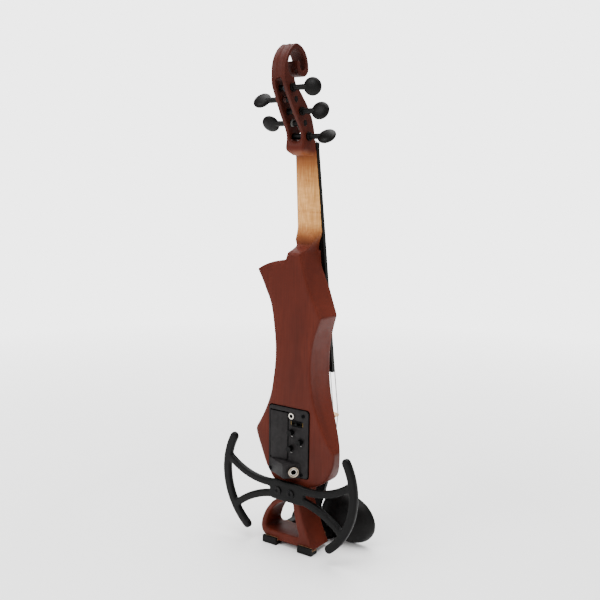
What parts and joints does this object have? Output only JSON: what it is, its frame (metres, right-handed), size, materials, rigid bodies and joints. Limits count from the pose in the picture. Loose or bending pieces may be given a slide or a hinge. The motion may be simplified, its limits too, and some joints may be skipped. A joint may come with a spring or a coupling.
{
  "type": "electric violin",
  "caption": "Solid-body electric violin with carved scroll, side pegs, chin rest, rear control panel and bowed shoulder-rest frame.",
  "frame": {"origin": "under the middle of the whole instrument's box, on the plane of the clamp feet that it stands on", "axes": "+Z towards the scroll, -Y towards the strings, +Y out of the back, +X the treble side"},
  "size_m": [0.1948, 0.1129, 0.5918],
  "materials": {
    "stained_wood": "satin stained and lacquered maple, dark red brown",
    "neck_maple": "satin maple, sunburst to red brown at both ends",
    "fingerboard_black": "black satin composite board",
    "bridge_maple": "bare maple",
    "peg_black": "black satin wood",
    "black_composite": "moulded black composite, satin",
    "black_frame": "moulded black plastic, fine texture",
    "panel_plastic": "dark grey moulded plastic",
    "knob_plastic": "black knob plastic",
    "black_metal": "black coated steel",
    "steel": "bright steel",
    "nickel": "nickel plate",
    "switch_metal": "gilt switch frame",
    "brass_disc": "brass backed piezo ceramic",
    "cork": "cork sheet",
    "soft_black": "black jacket",
    "battery_jacket": "plain battery can",
    "board_green": "fibreglass board"
  },
  "bodies": {
    "instrument": {"body": "stained_wood", "neck_and_scroll": "neck_maple", "fingerboard": "fingerboard_black", "nut": "fingerboard_black", "c_string": "steel", "g_string": "steel", "d_string": "steel", "a_string": "steel", "e_string": "steel", "bridge": "bridge_maple", "bridge_pickup": "brass_disc", "pickup_cable": "soft_black", "tailpiece": "black_composite", "tailgut": "soft_black", "end_pin": "peg_black", "chin_rest": "black_composite", "chin_rest_corks": "cork", "chin_rest_clamp_feet": "black_metal", "clamp_foot_corks": "cork", "chin_rest_rods": "steel", "shoulder_rest_frame": "black_frame", "frame_spacers": "black_metal", "frame_screws": "black_metal", "electronics_panel": "panel_plastic", "battery": "battery_jacket", "battery_clip": "soft_black", "circuit_board": "board_green", "potentiometers": "switch_metal", "selector_switch": "switch_metal", "selector_bezel": "black_composite", "headphone_jack": "nickel", "output_jack": "nickel", "output_jack_nut": "nickel", "panel_screws": "black_metal"},
    "c_peg": {"c_peg": "peg_black"},
    "g_peg": {"g_peg": "peg_black"},
    "d_peg": {"d_peg": "peg_black"},
    "a_peg": {"a_peg": "peg_black"},
    "e_peg": {"e_peg": "peg_black"},
    "c_tuner_screw": {"c_tuner_screw": "black_metal"},
    "c_tuner_lever": {"c_tuner_lever": "black_metal"},
    "g_tuner_screw": {"g_tuner_screw": "black_metal"},
    "g_tuner_lever": {"g_tuner_lever": "black_metal"},
    "d_tuner_screw": {"d_tuner_screw": "black_metal"},
    "d_tuner_lever": {"d_tuner_lever": "black_metal"},
    "a_tuner_screw": {"a_tuner_screw": "black_metal"},
    "a_tuner_lever": {"a_tuner_lever": "black_metal"},
    "e_tuner_screw": {"e_tuner_screw": "black_metal"},
    "e_tuner_lever": {"e_tuner_lever": "black_metal"},
    "volume_knob": {"volume_knob": "knob_plastic"},
    "bass_knob": {"bass_knob": "knob_plastic"},
    "treble_knob": {"treble_knob": "knob_plastic"},
    "selector_button": {"selector_button": "knob_plastic"},
    "battery_lid": {"battery_lid": "panel_plastic"},
    "clamp_barrel_bass": {"clamp_barrel_bass": "steel"},
    "clamp_barrel_treble": {"clamp_barrel_treble": "steel"}
  },
  "joints": [
    {"name": "c_peg_turn", "type": "hinge", "parent": "instrument", "child": "c_peg", "pos_m": [0.003, 0.0139, 0.492], "axis": [1, 0, 0], "continuous": true},
    {"name": "g_peg_turn", "type": "hinge", "parent": "instrument", "child": "g_peg", "pos_m": [0.003, 0.0276, 0.519], "axis": [1, 0, 0], "continuous": true},
    {"name": "d_peg_turn", "type": "hinge", "parent": "instrument", "child": "d_peg", "pos_m": [0.003, 0.0434, 0.5435], "axis": [1, 0, 0], "continuous": true},
    {"name": "a_peg_turn", "type": "hinge", "parent": "instrument", "child": "a_peg", "pos_m": [0.003, 0.0358, 0.5315], "axis": [1, 0, 0], "continuous": true},
    {"name": "e_peg_turn", "type": "hinge", "parent": "instrument", "child": "e_peg", "pos_m": [0.003, 0.0192, 0.5065], "axis": [1, 0, 0], "continuous": true},
    {"name": "c_tuner_screw_turn", "type": "hinge", "parent": "instrument", "child": "c_tuner_screw", "pos_m": [-0.014, -0.04621, 0.08485], "axis": [0, 0.9715, 0.2368], "range_deg": [0, 1080]},
    {"name": "c_tuner_lever_tilt", "type": "hinge", "parent": "instrument", "child": "c_tuner_lever", "pos_m": [-0.014, -0.04051, 0.10579], "axis": [1, 0, 0], "range_deg": [0, 5]},
    {"name": "g_tuner_screw_turn", "type": "hinge", "parent": "instrument", "child": "g_tuner_screw", "pos_m": [-0.0055, -0.04621, 0.08485], "axis": [0, 0.9715, 0.2368], "range_deg": [0, 1080]},
    {"name": "g_tuner_lever_tilt", "type": "hinge", "parent": "instrument", "child": "g_tuner_lever", "pos_m": [-0.0055, -0.04051, 0.10579], "axis": [1, 0, 0], "range_deg": [0, 5]},
    {"name": "d_tuner_screw_turn", "type": "hinge", "parent": "instrument", "child": "d_tuner_screw", "pos_m": [0.003, -0.04621, 0.08485], "axis": [0, 0.9715, 0.2368], "range_deg": [0, 1080]},
    {"name": "d_tuner_lever_tilt", "type": "hinge", "parent": "instrument", "child": "d_tuner_lever", "pos_m": [0.003, -0.04051, 0.10579], "axis": [1, 0, 0], "range_deg": [0, 5]},
    {"name": "a_tuner_screw_turn", "type": "hinge", "parent": "instrument", "child": "a_tuner_screw", "pos_m": [0.0115, -0.04621, 0.08485], "axis": [0, 0.9715, 0.2368], "range_deg": [0, 1080]},
    {"name": "a_tuner_lever_tilt", "type": "hinge", "parent": "instrument", "child": "a_tuner_lever", "pos_m": [0.0115, -0.04051, 0.10579], "axis": [1, 0, 0], "range_deg": [0, 5]},
    {"name": "e_tuner_screw_turn", "type": "hinge", "parent": "instrument", "child": "e_tuner_screw", "pos_m": [0.02, -0.04621, 0.08485], "axis": [0, 0.9715, 0.2368], "range_deg": [0, 1080]},
    {"name": "e_tuner_lever_tilt", "type": "hinge", "parent": "instrument", "child": "e_tuner_lever", "pos_m": [0.02, -0.04051, 0.10579], "axis": [1, 0, 0], "range_deg": [0, 5]},
    {"name": "volume_knob_turn", "type": "hinge", "parent": "instrument", "child": "volume_knob", "pos_m": [-0.002, 0.0314, 0.1478], "axis": [0, 1, 0], "range_deg": [-150, 150]},
    {"name": "bass_knob_turn", "type": "hinge", "parent": "instrument", "child": "bass_knob", "pos_m": [-0.0147, 0.0314, 0.1382], "axis": [0, 1, 0], "range_deg": [-150, 150]},
    {"name": "treble_knob_turn", "type": "hinge", "parent": "instrument", "child": "treble_knob", "pos_m": [-0.0012, 0.0314, 0.128], "axis": [0, 1, 0], "range_deg": [-150, 150]},
    {"name": "selector_slide", "type": "slide", "parent": "instrument", "child": "selector_button", "axis": [1, 0, 0], "range_m": [-0.004, 0.004]},
    {"name": "battery_lid_hinge", "type": "hinge", "parent": "instrument", "child": "battery_lid", "pos_m": [0.01715, 0.0282, 0.113], "axis": [-1, 0, 0], "range_deg": [0, 90]},
    {"name": "clamp_barrel_bass_turn", "type": "hinge", "parent": "instrument", "child": "clamp_barrel_bass", "pos_m": [-0.023, -0.0006, 0.0027], "axis": [0, 1, 0], "continuous": true},
    {"name": "clamp_barrel_treble_turn", "type": "hinge", "parent": "instrument", "child": "clamp_barrel_treble", "pos_m": [0.029, -0.0006, 0.0027], "axis": [0, 1, 0], "continuous": true}
  ],
  "couplings": [
    {"joint": "c_tuner_lever_tilt", "follows": "c_tuner_screw_turn", "ratio": 0.0046},
    {"joint": "g_tuner_lever_tilt", "follows": "g_tuner_screw_turn", "ratio": 0.0046},
    {"joint": "d_tuner_lever_tilt", "follows": "d_tuner_screw_turn", "ratio": 0.0046},
    {"joint": "a_tuner_lever_tilt", "follows": "a_tuner_screw_turn", "ratio": 0.0046},
    {"joint": "e_tuner_lever_tilt", "follows": "e_tuner_screw_turn", "ratio": 0.0046}
  ]
}
